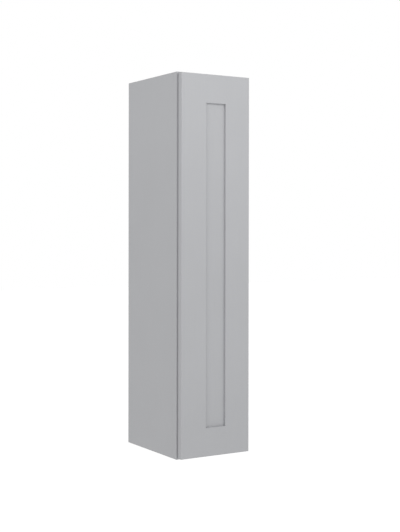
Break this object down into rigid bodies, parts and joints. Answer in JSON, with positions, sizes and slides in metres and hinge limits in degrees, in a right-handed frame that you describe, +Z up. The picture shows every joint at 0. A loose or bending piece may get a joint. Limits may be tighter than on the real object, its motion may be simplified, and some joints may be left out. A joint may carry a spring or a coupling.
{
  "type": "wall cabinet",
  "caption": "Tall narrow wall cabinet with a painted face frame and a hinged full-overlay door that has a recessed flat panel, over adjustable shelves.",
  "frame": {"origin": "centre of the wall side, where the back panel meets the wall", "axes": "+Y towards the wall, +Z up, +X to the right of someone facing the door"},
  "size_m": [0.2286, 0.3048, 1.0668],
  "materials": {
    "painted_wood": "satin paint",
    "birch_plywood": "clear satin",
    "hinge_steel": "nickel",
    "zinc_plate": "zinc",
    "soft_bumper": "clear soft"
  },
  "bodies": {
    "box": {"left_side_panel": "painted_wood", "right_side_panel": "painted_wood", "top_panel": "birch_plywood", "bottom_panel": "birch_plywood", "back_panel": "birch_plywood", "upper_hanging_rail": "birch_plywood", "lower_hanging_rail": "birch_plywood", "left_frame_stile": "painted_wood", "right_frame_stile": "painted_wood", "top_frame_rail": "painted_wood", "bottom_frame_rail": "painted_wood", "shelf_1": "birch_plywood", "shelf_2": "birch_plywood", "shelf_3": "birch_plywood", "shelf_pins": "hinge_steel", "corner_brackets": "zinc_plate", "bracket_screws": "zinc_plate", "hinge_arm_screws": "hinge_steel", "top_hinge_arm": "hinge_steel", "middle_hinge_arm": "hinge_steel", "bottom_hinge_arm": "hinge_steel"},
    "door": {"door_hinge_stile": "painted_wood", "door_latch_stile": "painted_wood", "door_top_rail": "painted_wood", "door_bottom_rail": "painted_wood", "door_panel": "painted_wood", "door_bumpers": "soft_bumper", "cup_screws": "hinge_steel", "top_hinge_cup": "hinge_steel", "top_hinge_pin": "hinge_steel", "top_hinge_spring": "hinge_steel", "middle_hinge_cup": "hinge_steel", "middle_hinge_pin": "hinge_steel", "middle_hinge_spring": "hinge_steel", "bottom_hinge_cup": "hinge_steel", "bottom_hinge_pin": "hinge_steel", "bottom_hinge_spring": "hinge_steel"}
  },
  "joints": [
    {"name": "door_swing", "type": "hinge", "parent": "box", "child": "door", "pos_m": [0.10412, -0.29525, 0], "axis": [0, 0, 1], "range_deg": [0, 105]}
  ]
}
